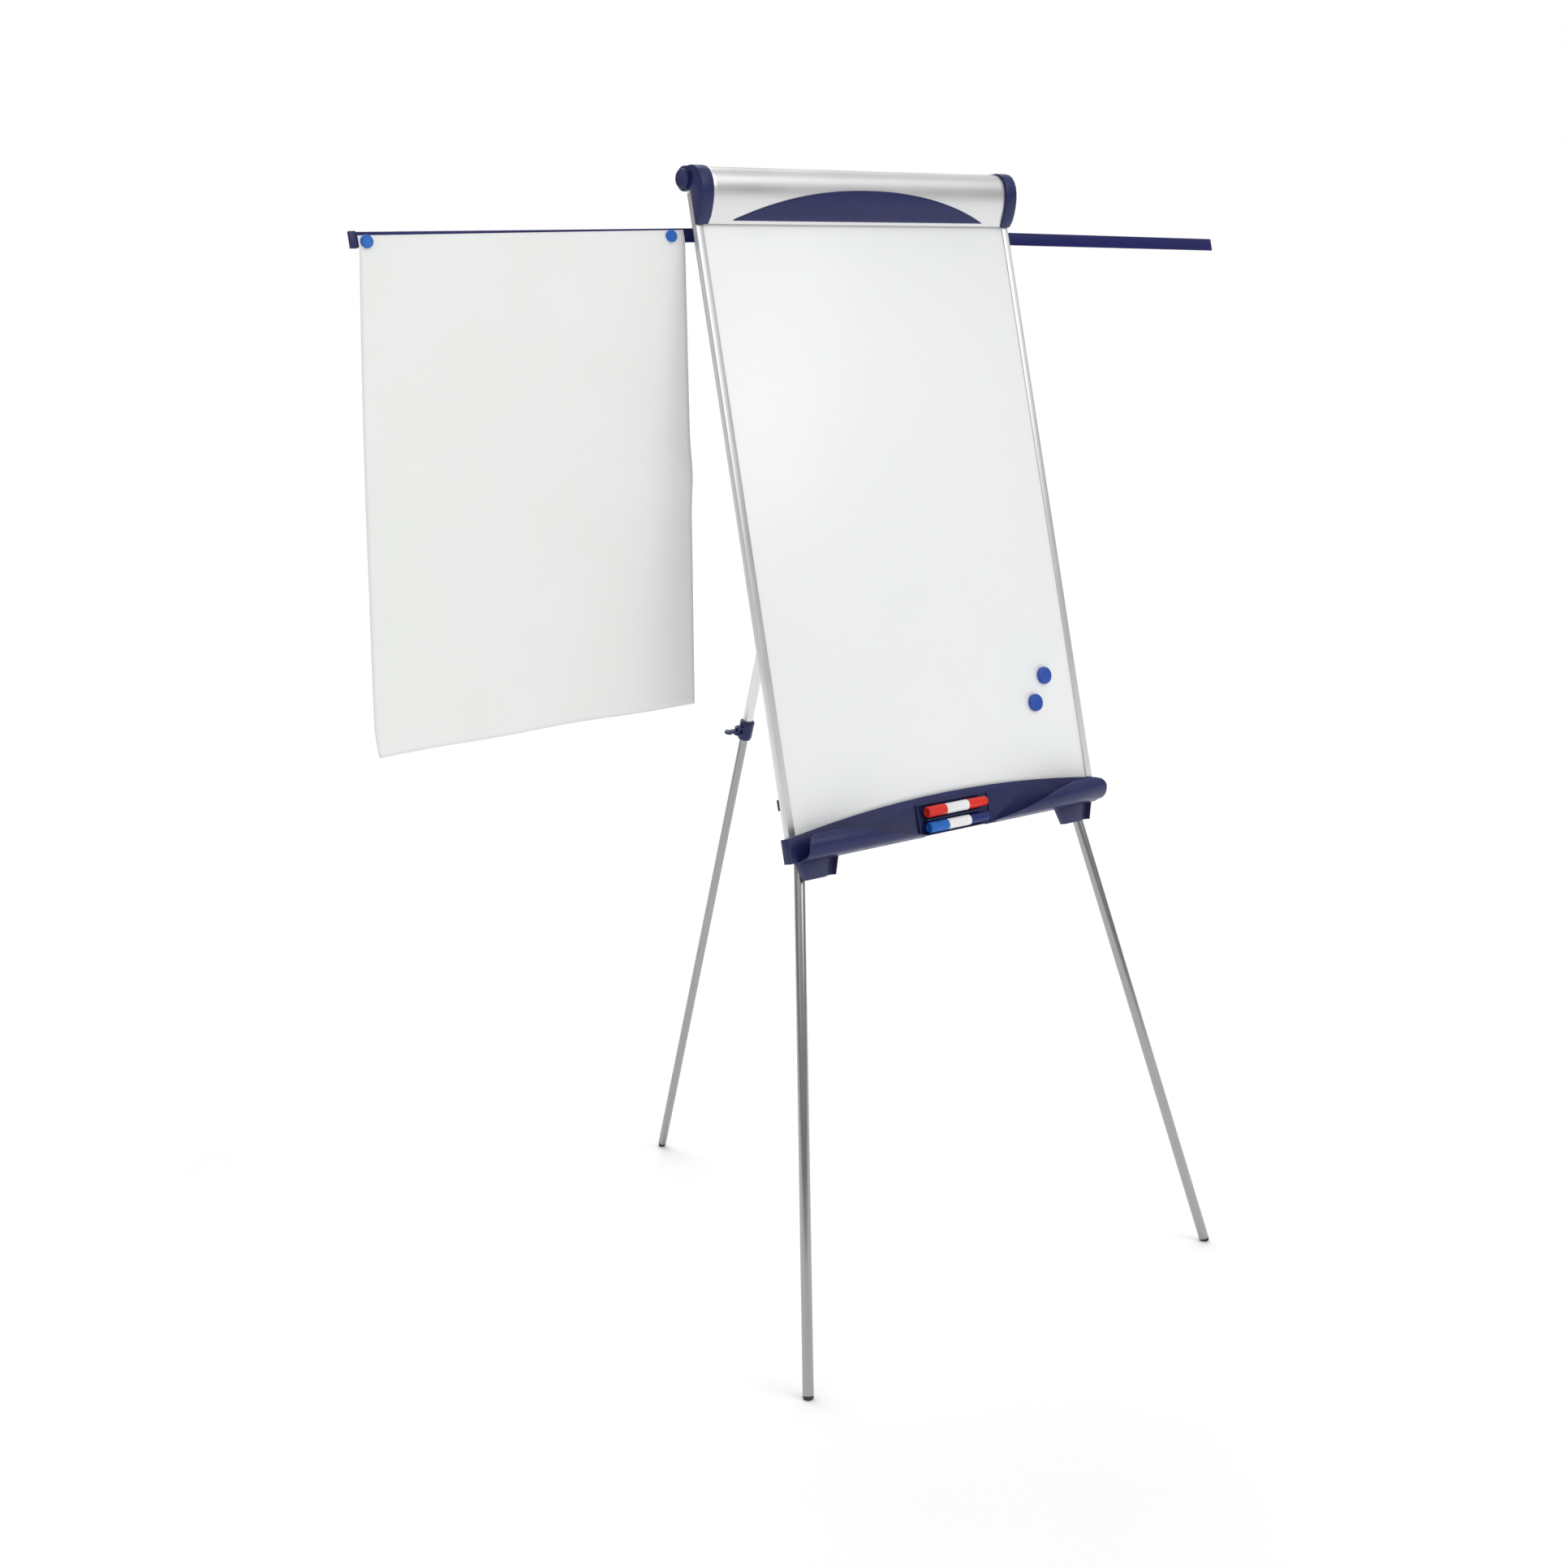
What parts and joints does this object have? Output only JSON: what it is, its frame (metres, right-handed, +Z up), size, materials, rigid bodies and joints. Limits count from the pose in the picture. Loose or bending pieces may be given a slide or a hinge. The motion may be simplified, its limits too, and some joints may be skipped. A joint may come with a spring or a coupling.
{
  "type": "flipchart easel",
  "caption": "Leaning magnetic whiteboard on telescopic tripod legs, with a hinged pad clamp, sliding display arms, a pen tray and a paper sheet held by magnets.",
  "frame": {"origin": "on the floor, midway between the display arm tips and midway between the front and rear feet", "axes": "+Z up; +X along the display arms, to the right of someone facing the board; the board faces -Y and leans back towards +Y"},
  "size_m": [1.9162, 0.9932, 1.8723],
  "materials": {
    "aluminium": "satin",
    "white_enamel": "gloss",
    "core_board": "matte",
    "galvanised_steel": "satin",
    "navy_plastic": "satin",
    "navy_steel": "satin",
    "black_plastic": "matte",
    "black_rubber": "matte",
    "paper": "matte",
    "blue_plastic": "gloss",
    "red_plastic": "gloss",
    "marker_body": "gloss"
  },
  "bodies": {
    "frame": {"side_rail_left": "aluminium", "side_rail_right": "aluminium", "bottom_rail": "aluminium", "top_rail": "aluminium", "whiteboard_face": "white_enamel", "panel_core": "core_board", "panel_back_sheet": "galvanised_steel", "pivot_barrel": "aluminium", "barrel_plug_left": "navy_plastic", "barrel_plug_right": "navy_plastic", "barrel_saddle": "aluminium", "hook_rail": "aluminium", "pen_tray": "navy_plastic", "tray_end_left": "navy_plastic", "tray_end_right": "navy_plastic", "leg_sleeve_left": "navy_plastic", "leg_sleeve_right": "navy_plastic", "leg_housing_left": "navy_plastic", "leg_housing_right": "navy_plastic", "arm_left_channel": "aluminium", "arm_right_channel": "aluminium", "channel_hanger_left": "galvanised_steel", "channel_hanger_middle": "galvanised_steel", "channel_hanger_right": "galvanised_steel", "rear_hinge_bracket": "galvanised_steel", "rear_hinge_pin": "galvanised_steel"},
    "pad_clamp": {"clamp_cover": "aluminium", "clamp_cap_left": "navy_plastic", "clamp_cap_right": "navy_plastic", "clamp_trim": "navy_plastic", "clamp_strip": "black_rubber"},
    "hook_left": {"pad_hook_left": "black_plastic"},
    "hook_right": {"pad_hook_right": "black_plastic"},
    "arm_left": {"arm_left_bar": "navy_steel", "arm_left_tip": "navy_plastic", "arm_left_carriage": "black_plastic", "hanging_sheet": "paper"},
    "arm_right": {"arm_right_bar": "navy_steel", "arm_right_tip": "navy_plastic", "arm_right_carriage": "black_plastic"},
    "sheet_magnet_left": {"sheet_magnet_1": "blue_plastic"},
    "sheet_magnet_right": {"sheet_magnet_2": "blue_plastic"},
    "board_magnet_upper": {"board_magnet_1": "blue_plastic"},
    "board_magnet_lower": {"board_magnet_2": "blue_plastic"},
    "marker_red": {"marker_red_cap": "red_plastic", "marker_red_body": "marker_body"},
    "marker_blue": {"marker_blue_cap": "blue_plastic", "marker_blue_body": "marker_body"},
    "rear_leg": {"rear_hinge_head": "navy_plastic", "rear_leg_upper": "aluminium", "rear_clamp_collar": "navy_plastic"},
    "rear_leg_end": {"rear_leg_lower": "aluminium", "rear_foot": "black_rubber"},
    "rear_lever": {"clamp_lever": "navy_plastic"},
    "leg_left": {"front_leg_left": "aluminium", "front_foot_left": "black_rubber"},
    "leg_right": {"front_leg_right": "aluminium", "front_foot_right": "black_rubber"},
    "knob_left": {"leg_knob_left": "black_plastic"},
    "knob_right": {"leg_knob_right": "black_plastic"}
  },
  "joints": [
    {"name": "pad_clamp_flip", "type": "hinge", "parent": "frame", "child": "pad_clamp", "pos_m": [0, -0.04062, 1.8505], "axis": [-1, 0, 0], "range_deg": [0, 60]},
    {"name": "hook_left_slide", "type": "slide", "parent": "frame", "child": "hook_left", "axis": [1, 0, 0], "range_m": [-0.06, 0.06]},
    {"name": "hook_right_slide", "type": "slide", "parent": "frame", "child": "hook_right", "axis": [1, 0, 0], "range_m": [-0.06, 0.06]},
    {"name": "arm_left_slide", "type": "slide", "parent": "frame", "child": "arm_left", "axis": [1, 0, 0], "range_m": [0, 0.25]},
    {"name": "arm_right_slide", "type": "slide", "parent": "frame", "child": "arm_right", "axis": [-1, 0, 0], "range_m": [0, 0.59]},
    {"name": "sheet_magnet_left_pull", "type": "slide", "parent": "arm_left", "child": "sheet_magnet_left", "axis": [0, -0.9715, 0.2368], "range_m": [0, 0.01]},
    {"name": "sheet_magnet_right_pull", "type": "slide", "parent": "arm_left", "child": "sheet_magnet_right", "axis": [0, -0.9715, 0.2368], "range_m": [0, 0.01]},
    {"name": "board_magnet_upper_pull", "type": "slide", "parent": "frame", "child": "board_magnet_upper", "axis": [0, -0.9715, 0.2368], "range_m": [0, 0.04]},
    {"name": "board_magnet_lower_pull", "type": "slide", "parent": "frame", "child": "board_magnet_lower", "axis": [0, -0.9715, 0.2368], "range_m": [0, 0.04]},
    {"name": "marker_red_lift", "type": "slide", "parent": "frame", "child": "marker_red", "axis": [0, -0.9715, 0.2368], "range_m": [0, 0.05]},
    {"name": "marker_blue_lift", "type": "slide", "parent": "frame", "child": "marker_blue", "axis": [0, -0.9715, 0.2368], "range_m": [0, 0.05]},
    {"name": "rear_leg_fold", "type": "hinge", "parent": "frame", "child": "rear_leg", "pos_m": [0, -0.04127, 1.71274], "axis": [-1, 0, 0], "range_deg": [0, 30]},
    {"name": "rear_leg_extend", "type": "slide", "parent": "rear_leg", "child": "rear_leg_end", "axis": [0, -0.2838, 0.9589], "range_m": [0, 0.72]},
    {"name": "rear_lever_swing", "type": "hinge", "parent": "rear_leg", "child": "rear_lever", "pos_m": [-0.019, 0.2309, 0.87556], "axis": [0, 0.2838, -0.9589], "range_deg": [0, 90]},
    {"name": "leg_left_extend", "type": "slide", "parent": "frame", "child": "leg_left", "axis": [0.1836, 0.2465, 0.9516], "range_m": [0, 0.72]},
    {"name": "leg_right_extend", "type": "slide", "parent": "frame", "child": "leg_right", "axis": [-0.1836, 0.2465, 0.9516], "range_m": [0, 0.72]},
    {"name": "knob_left_turn", "type": "hinge", "parent": "frame", "child": "knob_left", "pos_m": [-0.29908, -0.24026, 0.86268], "axis": [0, 0.9715, -0.2368], "range_deg": [0, 360]},
    {"name": "knob_right_turn", "type": "hinge", "parent": "frame", "child": "knob_right", "pos_m": [0.29908, -0.24026, 0.86268], "axis": [0, 0.9715, -0.2368], "range_deg": [0, 360]}
  ]
}
